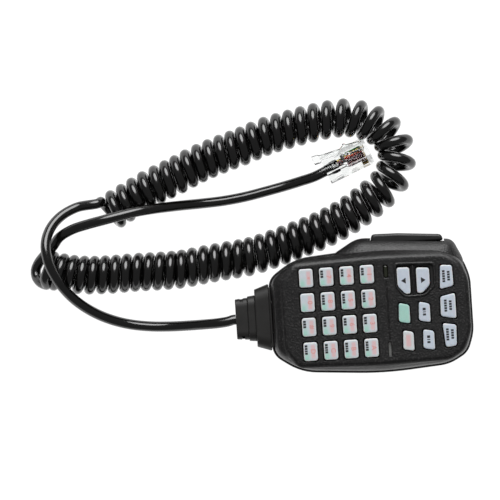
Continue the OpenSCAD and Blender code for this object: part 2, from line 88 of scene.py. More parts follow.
LENS_SIZE = [1.8, 5.5]
WELL_INSET = 1.05
WELL_Z = 30.1
BEZEL = [[3.1, 9.8], [6.9, 4.9], [16.6, 4.9], [21.7, 9.7], [21.7, 20.3], [3.1, 21]]
HINGE = [-4, 27.4]
LEVER_PAD = [[-6.6, 29.4], [26.3, 29.4], [25.4, 32.4], [6, 34], [-5.8, 34.2]]
LEVER_ROOM = [[-6.9, 27.4], [26.7, 27.4], [26.7, 29.5], [24.7, 36], [-5.8, 36], [-6.9, 29.5]]
LEVER_Z = [12.5, 21.5]

# ---------------------------------------------------------------- the cord and the plug, in mm
CORD_D = 4.6
CURL_D = 17.6
MIC_TAIL = [[-68.8, 0, 15], [-69.6, 0, 15], [-72, -0.6, 14.9], [-76.4, -1.1, 14],
            [-82, -1.3, 11.6], [-89.4, -1.4, 7.7], [-98.3, -1.3, 4], [-107.3, -0.7, 2.5],
            [-116.3, 0.8, 2.8], [-125.8, 3.9, 5.4], [-134.4, 8.6, 9.6], [-142.2, 15.3, 14.8],
            [-147.8, 23.2, 19.6], [-151, 30.9, 20.8], [-151.9, 38.1, 19.6], [-149.6, 45.5, 15.4],
            [-144.2, 51.3, 11.8], [-137.2, 54.7, 10]]
CURL = [[-125.5, 49.5], [-120.8, 52.3], [-112.3, 56.8], [-101.9, 62], [-91.8, 66.1],
        [-81.5, 70.7], [-71.3, 74.3], [-60.9, 77.5], [-50.7, 81.1], [-40.5, 83.5],
        [-30.3, 85.6], [-20.3, 87], [-13.3, 87.2], [-5.8, 85.4], [0.9, 81.9], [6, 76.4],
        [8, 70.4], [7.3, 64.1], [4, 57.5], [-2.1, 52], [-9.2, 47], [-19.5, 41.2],
        [-29.8, 36.9], [-40.2, 33.5], [-50.4, 30.4], [-60.8, 27.8], [-71.4, 26.6],
        [-81.8, 25.4], [-92.1, 24.1], [-102.4, 23.9], [-112.9, 24], [-123.1, 23.8],
        [-133.5, 24.1], [-141.7, 25.2], [-148, 26.7], [-154.7, 28.7]]
# From the curl's last crossing over the top down to the table, where the plug's stretch starts
CURL_TO_TAIL = [[-152.6, 21, 9.6], [-155.5, 22.4, 5.9], [-157.1, 24.9, 3.2], [-157.2, 28, 2.4]]
PLUG_TAIL = [[-155.7, 31, 3], [-152.8, 34.3, 5.6], [-149, 37.7, 9.4], [-145.6, 41.8, 12.6],
             [-139.8, 44.9, 15.6], [-132.2, 46.9, 18.3], [-125.2, 48.3, 20],
             [-118.1, 49.7, 20], [-110.9, 51, 18.8], [-103.7, 51.8, 16], [-96.5, 52.3, 12],
             [-88.4, 52.7, 7.6], [-80.3, 53, 4.2], [-71.4, 53.5, 2.6], [-61.4, 54.7, 2.4],
             [-51.5, 56.6, 2.4], [-42.5, 58.5, 2.8], [-35.4, 60.2, 4.5], [-29.6, 61.7, 6.2]]
HELIX_R = (CURL_D - CORD_D) / 2
# The helix starts at this angle and this far along its axis, and leans in over this length
HELIX_START = math.radians(14)
HELIX_SKIP = 1.4
LEAN_IN_OVER = 1.5
# A cord that is higher than this is crossing over the top of the curl
HELIX_TOP_Z = 13.4
# Distance between the points of the cord's centreline
CORD_STEP = 1.3
# Distance between turns at places along the curl, both in mm
PITCH_AT = [[0, 5], [7, 5], [10, 5.5], [60, 5.2], [100, 5.7], [110, 6.1], [120, 6.8], [132, 6.8],
            [150, 7.4], [160, 8.4], [174, 6.1], [195, 5.5], [230, 5.4], [270, 5], [330, 5]]
PLUG_REAR = [-24.3, 63.9, 6.6]
PLUG_TURN = math.radians(22.5)
PLUG_ROLL = math.radians(-45)
PLUG_L = 21.5
PLUG_W = 11.68
PLUG_H = 6.6
CORD_IN_PLUG = 6.2
WAYS = 8
CONTACT_PITCH = 1.02
# Where the contacts, their slots and the wires to them lie across the plug
CONTACT_Y = [(k - (WAYS - 1) / 2) * CONTACT_PITCH for k in range(WAYS)]

# ---------------------------------------------------------------- small measures
# Lengths are in mm and angles in radians. The inks' numbers are their places among a key's looks
TRUNNION_D = 2.4
HINGE_HOLE_D = 2.6
BOOT_Z = 15
KEY_EDGE = 0.42
STEM_R = 2
FLANGE_Z = 28.05
SIGN_SIZE = 3.1
SIGN_SINK = 0.005
SIGN_HALF_THICK = 0.02
RED_INDEX = 2
BLACK_INDEX = 3
RIDGE_SUNK = 0.6
THREAD_PITCH = 0.9
LATCH_RISE = 1.55
LATCH_TILT = math.radians(11)
SHARP_FROM = math.radians(32)
RINGS_PER_GAP = 3

# ---------------------------------------------------------------- camera and light, in m
CAMERA_PLACE = (-0.0605, 0.0307, 5)
CAMERA_TURN = math.radians(-3.7)
CAMERA_SENSOR_MM = 36
CAMERA_LENS_MM = 800
SKY_STRENGTH = 0.17
SUN_STRENGTH = 3.4
SUN_SPREAD = math.radians(50)
SUN_WAY = math.radians(86)
SUN_FLAT = 0.8
SUN_UP = 0.66
FLOOR_HALF = 4
FLOOR_Z = -0.0002


def camera_and_light():
    camera = placed("camera", bpy.data.cameras.new("camera"))
    camera.location = CAMERA_PLACE
    camera.rotation_euler = (0, 0, CAMERA_TURN)
    camera.data.sensor_width = CAMERA_SENSOR_MM
    camera.data.lens = CAMERA_LENS_MM
    bpy.context.scene.camera = camera

    world = bpy.data.worlds.new("world")
    world.use_nodes = True
    world.node_tree.nodes["Background"].inputs["Color"].default_value = (0.98, 0.99, 1, 1)
    world.node_tree.nodes["Background"].inputs["Strength"].default_value = SKY_STRENGTH
    bpy.context.scene.world = world
    bpy.context.scene.view_settings.view_transform = "Standard"

    sun = placed("soft_light", bpy.data.lights.new("soft_light", "SUN"))
    sun.data.energy = SUN_STRENGTH
    sun.data.angle = SUN_SPREAD
    towards = Vector((math.cos(SUN_WAY) * SUN_FLAT, math.sin(SUN_WAY) * SUN_FLAT, SUN_UP))
    sun.rotation_euler = towards.to_track_quat("Z", "Y").to_euler()


# ---------------------------------------------------------------- smooth lines
def smooth_line(points, step):
    """Points on a smooth line through the given ones, evenly spaced along it."""
    p = np.array(points, float)
    chord = np.linalg.norm(np.diff(p, axis=0), axis=1)
    knots = np.concatenate([[0], np.cumsum(chord)])
    slope = np.gradient(p, knots, axis=0)
    fine = np.linspace(0, knots[-1], max(int(knots[-1] / 0.05), 400))
    dense = hermite(knots, p, slope, fine)
    run = np.concatenate([[0], np.cumsum(np.linalg.norm(np.diff(dense, axis=0), axis=1))])
    at = np.linspace(0, run[-1], int(round(run[-1] / step)) + 1)
    return np.stack([np.interp(at, run, dense[:, k]) for k in range(p.shape[1])], axis=1)


def hermite(knots, values, slopes, at):
    """Cubic values at places between knots."""
    at = np.asarray(at, float)
    i = np.clip(np.searchsorted(knots, at, side="right") - 1, 0, len(knots) - 2)
    h = knots[i + 1] - knots[i]
    t = (at - knots[i]) / h
    a = 2 * t ** 3 - 3 * t ** 2 + 1
    b = t ** 3 - 2 * t ** 2 + t
    c = -2 * t ** 3 + 3 * t ** 2
    d = t ** 3 - t ** 2
    return (a[:, None] * values[i] + (b * h)[:, None] * slopes[i]
            + c[:, None] * values[i + 1] + (d * h)[:, None] * slopes[i + 1])


# ---------------------------------------------------------------- the cord
def helix_points():
    """The curl: a left-handed helix about the curl's axis, and how far it turned."""
    axis = smooth_line([[x, y, CURL_D / 2] for x, y in CURL], step=0.1)
    run = np.concatenate([[0], np.cumsum(np.linalg.norm(np.diff(axis, axis=0), axis=1))])
    slope = np.gradient(axis, run, axis=0)
    s = HELIX_SKIP
    turned = 0.0
    done = 0.0
    points = []
    while s < run[-1]:
        pitch = np.interp(s, [p[0] for p in PITCH_AT], [p[1] for p in PITCH_AT])
        steep = math.atan2(2 * math.pi * HELIX_R, pitch)
        lean = steep * min(1, done / LEAN_IN_OVER)
        centre = np.array([np.interp(s, run, axis[:, k]) for k in range(3)])
        ahead = np.array([np.interp(s, run, slope[:, k]) for k in range(3)])
        ahead /= np.linalg.norm(ahead)
        side = np.array([-ahead[1], ahead[0], 0])
        angle = HELIX_START - turned
        points.append(centre + HELIX_R * (math.cos(angle) * side
                                          + math.sin(angle) * np.array([0, 0, 1])))
        s += CORD_STEP * math.cos(lean)
        turned += CORD_STEP * math.sin(lean) / HELIX_R
        done += CORD_STEP
    return points, turned


def helix_end(points):
    """Drops the helix's last points, back to where the cord last crosses over the top."""
    last = len(points) - 1
    while points[last][2] < HELIX_TOP_Z:
        last -= 1
    return points[:last + 1]


def cord_line():
    """The cord's whole centreline, from the boot to inside the plug, and the curl's turns."""
    helix, turned = helix_points()
    helix = helix_end(helix)
    way = [math.cos(PLUG_TURN), math.sin(PLUG_TURN), 0]
    inside = [PLUG_REAR[k] + CORD_IN_PLUG * way[k] for k in range(3)]
    curl = [list(p) for p in helix[1:]]
    route = MIC_TAIL + curl + CURL_TO_TAIL + PLUG_TAIL + [PLUG_REAR, inside]
    return smooth_line(route, step=CORD_STEP), turned


def make_cord(material):
    line, turned = cord_line()
    length = float(np.linalg.norm(np.diff(line, axis=0), axis=1).sum()) * MM
    data = bpy.data.curves.new("cord", "CURVE")
    data.dimensions = "3D"
    data.bevel_depth = CORD_D / 2 * MM
    data.bevel_resolution = 5
    data.use_fill_caps = True
    data.materials.append(material)
    spline = data.splines.new("POLY")
    spline.points.add(len(line) - 1)
    flat = np.concatenate([line * MM, np.ones((len(line), 1))], axis=1)
    spline.points.foreach_set("co", flat.ravel())
    spline.use_smooth = True
    obj = placed("cord", data)
    print("cord: %.3f m, %.1f turns, %d points" % (length, turned / 2 / math.pi, len(line)))
    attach(obj, "microphone")
    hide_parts("cord_mic_tail", "cord_curl", "cord_plug_tail")
    return obj, length


# ---------------------------------------------------------------- outlines, in mm
def grown(points, d):
    """The anticlockwise polygon with each side moved outwards by d."""
    p = np.array(points, float)

    def normals(a, b):
        run = b - a
        return np.stack([run[:, 1], -run[:, 0]], axis=1) / np.linalg.norm(run, axis=1)[:, None]

    before = normals(np.roll(p, 1, axis=0), p)
    after = normals(p, np.roll(p, -1, axis=0))
    return p + d * (before + after) / (1 + (before * after).sum(axis=1))[:, None]


def outline(points, cuts, bend=6, side=3):
    """The polygon with its corners bent round, and a few points along each side."""
    p = np.array(points, float)
    towards = [np.roll(p, 1, axis=0) - p, np.roll(p, -1, axis=0) - p]
    # two cuts on one side may not meet, or the outline would cross itself
    shortest = np.minimum(*[np.linalg.norm(t, axis=1) for t in towards])
    cuts = np.minimum(np.broadcast_to(cuts, len(p)), 0.48 * shortest)
    ends = [p + t * (cuts / np.linalg.norm(t, axis=1))[:, None] for t in towards]
    line = []
    for i, v in enumerate(p):
        for t in np.linspace(0, 1, bend + 1):
            line.append((1 - t) ** 2 * ends[0][i] + 2 * t * (1 - t) * v + t * t * ends[1][i])
        following = ends[0][(i + 1) % len(p)]
        for t in np.arange(1, side) / side:
            line.append((1 - t) * ends[1][i] + t * following)
    return np.array(line)


def both_sides(half):
    return [[x, -y] for x, y in half] + [[x, y] for x, y in reversed(half)]


CASE = both_sides(CASE_HALF)
CASE_CUT = CASE_CUTS + CASE_CUTS[::-1]
FACE = both_sides(FACE_HALF)
FACE_CUT = FACE_CUTS + FACE_CUTS[::-1]


def case_at(inset):
    return outline(grown(CASE, -inset), CASE_CUT)


def face_at(inset):
    return outline(grown(FACE, -inset), FACE_CUT)


def shoulder_at(inset):
    return outline(grown(SHOULDER, -inset), SHOULDER_CUTS)


def rectangle(size, place=(0, 0)):
    w, h = size[0] / 2, size[1] / 2
    return [[place[0] + x, place[1] + y] for x, y in ((-w, -h), (w, -h), (w, h), (-w, h))]


def circle(place, r, count=32):
    turn = np.arange(count) * 2 * math.pi / count
    return np.stack([place[0] + r * np.cos(turn), place[1] + r * np.sin(turn)], axis=1)


# ---------------------------------------------------------------- solids, in mm
def level(z, flat):
    """A flat outline as a ring at height z."""
    return np.concatenate([flat, np.full((len(flat), 1), float(z))], axis=1)


def upright(x, flat):
    """An outline in Y and Z as a ring at a place along X."""
    return np.stack([np.full(len(flat), float(x)), flat[:, 0], flat[:, 1]], axis=1)


def smooth_rings(rings):
    """More rings between the given ones, so that the wall is a smooth curve."""
    rings = np.array(rings)
    gaps = np.linalg.norm(np.diff(rings, axis=0), axis=2).mean(axis=1)
    knots = np.concatenate([[0], np.cumsum(gaps)])
    flat = rings.reshape(len(rings), -1)
    slope = np.gradient(flat, knots, axis=0)
    at = np.concatenate([np.linspace(a, b, RINGS_PER_GAP, endpoint=False)
                         for a, b in zip(knots[:-1], knots[1:])] + [knots[-1:]])
    return list(hermite(knots, flat, slope, at).reshape(len(at), -1, 3))


def loft(rings, closed=False):
    """A closed surface through rings that run anticlockwise, seen from the end they rise to."""
    n = len(rings[0])
    verts = np.concatenate(rings)
    faces = []
    count = len(rings)
    for i in range(count if closed else count - 1):
        low, high = i * n, ((i + 1) % count) * n
        for k in range(n):
            after = (k + 1) % n
            faces.append((low + k, low + after, high + after, high + k))
    if not closed:
        faces.append(tuple(range(n - 1, -1, -1)))
        faces.append(tuple(range((count - 1) * n, count * n)))
    return solid(verts, faces)


def placed(name, data):
    """A new object in the scene, made of a mesh, a curve, a camera or a light."""
    obj = bpy.data.objects.new(name, data)
    bpy.context.scene.collection.objects.link(obj)
    return obj


def solid(verts, faces):
    mesh = bpy.data.meshes.new("tool")
    mesh.from_pydata([tuple(v) for v in verts], [], faces)
    mesh.validate()
    return placed("tool", mesh)


def prism(z0, z1, flat):
    return loft([level(z0, flat), level(z1, flat)])


def post(place, z0, z1, d):
    return prism(z0, z1, circle(place, d / 2))


def block(low, high, edge=0.0):
    """A box, with rounded edges if edge is more than 0."""
    size = [high[0] - low[0], high[1] - low[1]]
    middle = [(high[0] + low[0]) / 2, (high[1] + low[1]) / 2]
    if not edge:
        return prism(low[2], high[2], np.array(rectangle(size, middle)))
    return pillow(rectangle(size, middle), edge, low[2], high[2], edge, 3)


def pillow(points, cut, z0, z1, edge, steps=4, bend=4):
    """An upright prism whose outline has bent corners, with its top and bottom edges rounded."""
    rings = []
    for a in np.linspace(90, 0, steps + 1):
        a = math.radians(a)
        rings.append(level(z0 + edge * (1 - math.sin(a)),
                           outline(grown(points, -edge * (1 - math.cos(a))), cut, bend, 2)))
    for a in np.linspace(0, 90, steps + 1):
        a = math.radians(a)
        rings.append(level(z1 - edge * (1 - math.sin(a)),
                           outline(grown(points, -edge * (1 - math.cos(a))), cut, bend, 2)))
    return loft(rings)


def lathe(profile, count=48):
    """A solid turned about Z. The profile has (radius, z) from the bottom to the top."""
    return loft([level(z, circle((0, 0), r, count)) for r, z in profile])


def rod(p, q, d, count=24):
    p, q = np.array(p, float), np.array(q, float)
    return tube([p, q], d / 2, count)


def tube(points, r, sides=12):
    """A round tube along points, with an even twist-free frame."""
    p = np.array(points, float)
    run = np.gradient(p, axis=0)
    run /= np.linalg.norm(run, axis=1)[:, None]
    side = np.cross(run[0], [0.1, 0.3, 1])
    rings = []
    turn = np.arange(sides) * 2 * math.pi / sides
    for centre, ahead in zip(p, run):
        side = side - ahead * side.dot(ahead)
        side /= np.linalg.norm(side)
        up = np.cross(ahead, side)
        rings.append(centre + r * (np.cos(turn)[:, None] * side + np.sin(turn)[:, None] * up))
    return loft(rings)


def joined(objects):
    """One object from several that don't touch."""
    bm = bmesh.new()
    for obj in objects:
        bm.from_mesh(obj.data)
    mesh = bpy.data.meshes.new("joined")
    bm.to_mesh(mesh)
    bm.free()
    for obj in objects:
        bpy.data.objects.remove(obj)
    return placed("joined", mesh)


def carve(obj, tool, operation="DIFFERENCE"):
    """Cuts a tool from the object, or adds it, and keeps the result as a plain mesh."""
    modifier = obj.modifiers.new("carve", "BOOLEAN")
    modifier.object = tool
    modifier.operation = operation
    modifier.solver = "EXACT"
    bpy.context.view_layer.update()
    depsgraph = bpy.context.evaluated_depsgraph_get()
    mesh = bpy.data.meshes.new_from_object(obj.evaluated_get(depsgraph))
    obj.modifiers.clear()
    obj.data = mesh
    bpy.data.objects.remove(tool)
    return obj


def add(obj, *tools):
    for tool in tools:
        carve(obj, tool, "UNION")
    return obj


def rim_cutter(points, cut, gap, fillet, bottom, top, bend=5):
    """A tool that opens a hole round an outline and rounds the rim at height top."""
    rings = [level(bottom, outline(grown(points, gap), cut, bend, 2))]
    for a in (0, 22, 45, 65, 80):
        a = math.radians(a)
        out = gap + fillet * (1 - math.cos(a))
        rings.append(level(top - fillet * (1 - math.sin(a)),
                           outline(grown(points, out), cut + (out - gap) * 0.6, bend, 2)))
    out = gap + fillet + 0.25
    rings.append(level(top + 0.2, outline(grown(points, out), cut + (out - gap) * 0.6, bend, 2)))
    return loft(rings)


# ---------------------------------------------------------------- finishing a piece
def crease_round_flats(mesh):
    """Marks the edge round every level area as sharp, so that level areas look level."""
    edge_of = {edge.key: edge for edge in mesh.edges}
    level_count = {}
    for polygon in mesh.polygons:
        for key in polygon.edge_keys:
            level_count.setdefault(key, []).append(polygon.normal.z > 0.9998)
    for key, levels in level_count.items():
        if any(levels) and not all(levels):
            edge_of[key].use_edge_sharp = True


def finished(obj, name, materials, body, nodes, weighted=True):
    """Scales a piece to metres, shades it, gives it its looks and ties it to the frame."""
    obj.name = name
    obj.data.name = name
    obj.data.transform(Matrix.Scale(MM, 4))
    if not isinstance(materials, (list, tuple)):
        materials = [materials]
    keep = [p.material_index for p in obj.data.polygons]
    obj.data.materials.clear()
    for material in materials:
        obj.data.materials.append(material)
    obj.data.polygons.foreach_set("material_index", [min(i, len(materials) - 1) for i in keep])
    for polygon in obj.data.polygons:
        polygon.use_smooth = True
    obj.data.set_sharp_from_angle(angle=SHARP_FROM)
    crease_round_flats(obj.data)
    if weighted:
        modifier = obj.modifiers.new("normals", "WEIGHTED_NORMAL")
        modifier.keep_sharp = True
    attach(obj, body)
    if nodes:
        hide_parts(*nodes)
    return obj


# ---------------------------------------------------------------- looks
def new_look(name, colour, rough, **inputs):
    material = bpy.data.materials.new(name)
    material.use_nodes = True
    shader = material.node_tree.nodes["Principled BSDF"]
    shader.inputs["Base Color"].default_value = (*colour, 1)
    shader.inputs["Roughness"].default_value = rough
    for key, value in inputs.items():
        shader.inputs[key.replace("_", " ")].default_value = value
    return material


def place_of(material):
    """The node that gives each point's place on the object."""
    return material.node_tree.nodes.new("ShaderNodeTexCoord").outputs["Object"]


def noise(material, place, grain_mm, detail=3.0):
    node = material.node_tree.nodes.new("ShaderNodeTexNoise")
    node.inputs["Scale"].default_value = 1000 / grain_mm
    node.inputs["Detail"].default_value = detail
    node.inputs["Roughness"].default_value = 0.55
    material.node_tree.links.new(place, node.inputs["Vector"])
    return node.outputs["Fac"]


def spread(material, value, low, high, out_low, out_high):
    node = material.node_tree.nodes.new("ShaderNodeMapRange")
    node.clamp = True
    for key, number in (("From Min", low), ("From Max", high),
                        ("To Min", out_low), ("To Max", out_high)):
        node.inputs[key].default_value = number
    material.node_tree.links.new(value, node.inputs["Value"])
    return node.outputs["Result"]


def mixed(material, factor, a, b):
    """A colour between a and b, each of them a colour or another node's output."""
    node = material.node_tree.nodes.new("ShaderNodeMix")
    node.data_type = "RGBA"
    for socket, value in ((node.inputs[6], a), (node.inputs[7], b)):
        if isinstance(value, (tuple, list)):
            socket.default_value = (*value, 1)
        else:
            material.node_tree.links.new(value, socket)
    material.node_tree.links.new(factor, node.inputs[0])
    return node.outputs[2]


def to_shader(material, output, socket):
    shader = material.node_tree.nodes["Principled BSDF"]
    material.node_tree.links.new(output, shader.inputs[socket])


def bumped(material, height, depth_mm):
    node = material.node_tree.nodes.new("ShaderNodeBump")
    node.inputs["Distance"].default_value = depth_mm * MM
    node.inputs["Strength"].default_value = 1.0
    material.node_tree.links.new(height, node.inputs["Height"])
    to_shader(material, node.outputs["Normal"], "Normal")


def grained_look(name, colour, rough, grain_mm, depth_mm, pale, **inputs):
    """Moulded plastic or rubber: fine grain, uneven gloss, slightly paler blotches and specks."""
    material = new_look(name, colour, rough, **inputs)
    place = place_of(material)
    grain = noise(material, place, grain_mm)
    blotch = noise(material, place, 7.0, 4.0)
    patch = spread(material, blotch, 0.35, 0.7, 0, 1)
    base = mixed(material, patch, colour, tuple(c * 1.35 for c in colour))
    speck = spread(material, grain, 0.54, 0.7, 0, 0.7)
    base = mixed(material, speck, base, pale)
    to_shader(material, base, "Base Color")
    to_shader(material, spread(material, blotch, 0.3, 0.7, rough - 0.04, rough + 0.05), "Roughness")
    bumped(material, grain, depth_mm)
    return material


def smooth_look(name, colour, rough, depth_mm=0.002, **inputs):
    """Smooth moulded or cast material with a faint unevenness."""
    material = new_look(name, colour, rough, **inputs)
    place = place_of(material)
    blotch = noise(material, place, 2.5, 4.0)
    base = mixed(material, spread(material, blotch, 0.3, 0.7, 0, 1), tuple(c * 0.9 for c in colour),
                 tuple(min(1, c * 1.08) for c in colour))
    to_shader(material, base, "Base Color")
    to_shader(material, spread(material, blotch, 0.3, 0.7, max(0, rough - 0.03), rough + 0.05),
              "Roughness")
    bumped(material, noise(material, place, 0.4), depth_mm)
    return material


def metal_look(name, colour, rough, grain_mm=0.3):
    """Brushed or plated metal, with fine scratches along one way."""
    material = new_look(name, colour, rough, Metallic=1.0)
    stretch = material.node_tree.nodes.new("ShaderNodeMapping")
    stretch.inputs["Scale"].default_value = (1, 1, 12)
    material.node_tree.links.new(place_of(material), stretch.inputs["Vector"])
    lines = noise(material, stretch.outputs["Vector"], grain_mm)
    to_shader(material, spread(material, lines, 0.3, 0.7, rough - 0.06, rough + 0.12), "Roughness")
    to_shader(material, mixed(material, lines, tuple(c * 0.85 for c in colour), colour),
              "Base Color")
    bumped(material, lines, 0.002)
    return material


CASE_LOOK = grained_look("case_plastic_grain", (0.0025, 0.0023, 0.0024), 0.42, 0.8, 0.2,
                         (0.045, 0.041, 0.042))
LEVER_LOOK = grained_look("lever_plastic_grain", (0.007, 0.007, 0.007), 0.38, 0.22, 0.012,
                          (0.022, 0.022, 0.022))
RUBBER_LOOK = grained_look("boot_rubber", (0.009, 0.0085, 0.008), 0.5, 0.2, 0.01,
                           (0.02, 0.019, 0.018))
STEEL_LOOK = metal_look("zinc_plated_steel", (0.62, 0.62, 0.6), 0.3)
GOLD_LOOK = metal_look("gold_plating", (0.85, 0.6, 0.25), 0.22, 0.15)
WHITE_LOOK = smooth_look("off_white_nylon", (0.75, 0.73, 0.66), 0.45)
RED_LOOK = smooth_look("red_nylon", (0.4, 0.04, 0.02), 0.4)
CHIP_LOOK = smooth_look("moulding_compound", (0.02, 0.02, 0.022), 0.55, 0.004)
BOARD_LOOK = smooth_look("solder_mask", (0.02, 0.13, 0.045), 0.3, Coat_Weight=0.3)
SILICONE_LOOK = smooth_look("translucent_silicone", (0.6, 0.62, 0.66), 0.5, Subsurface_Weight=0.2,
                            Subsurface_Scale=0.002)
LENS_LOOK = smooth_look("olive_lens", (0.016, 0.018, 0.010), 0.2, 0.0005, Coat_Weight=0.3)
LED_LOOK = smooth_look("led_resin", (0.8, 0.82, 0.75), 0.2)
CORD_LOOK = smooth_look("cord_polyurethane", (0.002, 0.0018, 0.0016), 0.17, 0.0016,
                        Specular_IOR_Level=0.85)
CLEAR_LOOK = new_look("clear_polycarbonate", (0.95, 0.96, 0.955), 0.03,
                      Transmission_Weight=1.0, IOR=1.22)
WIRE_LOOKS = [smooth_look("wire_" + name, colour, 0.35) for name, colour in (
    ("dark_violet", (0.09, 0.035, 0.06)), ("brown", (0.1, 0.04, 0.035)),
    ("violet", (0.14, 0.06, 0.09)), ("grey", (0.2, 0.13, 0.14)), ("red", (0.4, 0.02, 0.02)),
    ("orange", (0.85, 0.25, 0.05)), ("yellow", (0.8, 0.62, 0.1)), ("green", (0.03, 0.2, 0.05)))]
# near-black key skirts: partly the black paint of backlit keys, partly painted shade for the gap
# round each key
SKIRT_PAINT_AND_SHADE = smooth_look("key_skirt_paint_and_shade", (0.006, 0.006, 0.0065), 0.7)
# near-black painted shade for the floor of the sunken well round the arrow keys
WELL_PAINTED_SHADE = smooth_look("well_painted_shade", (0.003, 0.003, 0.003), 0.6)
RED_INK = smooth_look("salmon_ink", (0.72, 0.33, 0.31), 0.5, 0.001)
BLACK_INK = smooth_look("dark_ink", (0.012, 0.013, 0.016), 0.5, 0.001)


def key_look(name, base, rim, zone=None, zone_box=(0, 0, 0, 0), corner=None):
    """A pale translucent cap with a soft printed zone, a tinted corner and a paler rim that is a
    painted highlight on its edge.
    """
    material = new_look(name, base, 0.42, Subsurface_Weight=0.06, Subsurface_Scale=0.001)
    tree = material.node_tree
    attribute = tree.nodes.new("ShaderNodeAttribute")
    attribute.attribute_name = "key_place"
    split = tree.nodes.new("ShaderNodeSeparateXYZ")
    tree.links.new(attribute.outputs["Vector"], split.inputs["Vector"])
    x, y = split.outputs["X"], split.outputs["Y"]

    def both(a, b):
        node = tree.nodes.new("ShaderNodeMath")
        node.operation = "MULTIPLY"
        tree.links.new(a, node.inputs[0])
        tree.links.new(b, node.inputs[1])
        return node.outputs[0]

    def band(value, low, high, soft):
        return both(spread(material, value, low - soft, low + soft, 0, 1),
                    spread(material, value, high - soft, high + soft, 1, 0))

    place = place_of(material)
    blotch = noise(material, place, 1.2)
    colour = mixed(material, spread(material, blotch, 0.3, 0.7, 0, 1),
                   tuple(c * 0.96 for c in base), tuple(min(1, c * 1.04) for c in base))
    if corner:
        part = both(spread(material, x, 0.1, -0.45, 0, 1), spread(material, y, 0.1, -0.5, 0, 1))
        colour = mixed(material, part, colour, corner)
    if zone:
        x0, x1, y0, y1 = zone_box
        part = both(band(x, x0, x1, 0.1), band(y, y0, y1, 0.12))
        part = both(part, spread(material, blotch, 0.3, 0.7, 0.75, 1))
        colour = mixed(material, part, colour, zone)
    # the paler band round the cap's edge is a painted highlight
    inside = both(band(x, -0.86, 0.86, 0.06), band(y, -0.89, 0.89, 0.05))
    colour = mixed(material, inside, rim, colour)
    to_shader(material, colour, "Base Color")
    bumped(material, noise(material, place, 0.12), 0.003)
    return material


KEY_BASE = (0.60, 0.65, 0.69)
KEY_RIM_HIGHLIGHT = (0.72, 0.74, 0.75)
KEY_SALMON = (0.74, 0.49, 0.50)
KEY_MINT = (0.40, 0.66, 0.58)
PAD_LOOK = key_look("pad_key_cap", KEY_BASE, KEY_RIM_HIGHLIGHT, KEY_SALMON, (0.08, 0.66, -0.72, 0.72),
                    KEY_MINT)
CONTROL_LOOK = key_look("control_key_cap", (0.56, 0.62, 0.7), KEY_RIM_HIGHLIGHT)
GREEN_LOOK = key_look("green_key_cap", (0.38, 0.64, 0.56), (0.6, 0.72, 0.69))
RED_KEY_LOOK = key_look("red_key_cap", (0.64, 0.66, 0.67), KEY_RIM_HIGHLIGHT, (0.74, 0.46, 0.46),
                        (-0.4, 0.45, -0.55, 0.55))


# ---------------------------------------------------------------- the case
def key_outline(name):
    """A key cap's outline and how far its corners are cut."""
    if name in CONTROL_KEYS:
        return CONTROL_KEYS[name], PAD_CUT
    i = PAD_KEYS.index(name)
    place = (PAD_X0 - (i // 4) * PAD_PITCH[0], (1.5 - i % 4) * PAD_PITCH[1])
    return rectangle(PAD_SIZE, place), PAD_CUT


def ridge(points, cut, width, height, z):
    """A rounded ridge that follows an outline and is sunk a little into the face."""
    rings = [level(z - RIDGE_SUNK, outline(points, cut))]
    for a in np.linspace(0, 180, 9):
        a = math.radians(a)
        inset = width / 2 * (1 - math.cos(a))
        rings.append(level(z + height * math.sin(a) ** 0.8, outline(grown(points, -inset), cut)))
    rings.append(level(z - RIDGE_SUNK, outline(grown(points, -width), cut)))
    return loft(rings, closed=True)


def levels(outline_at, *steps):
    """Rings of one outline family, each at a height and with an inset."""
    return [level(z, outline_at(inset)) for z, inset in steps]


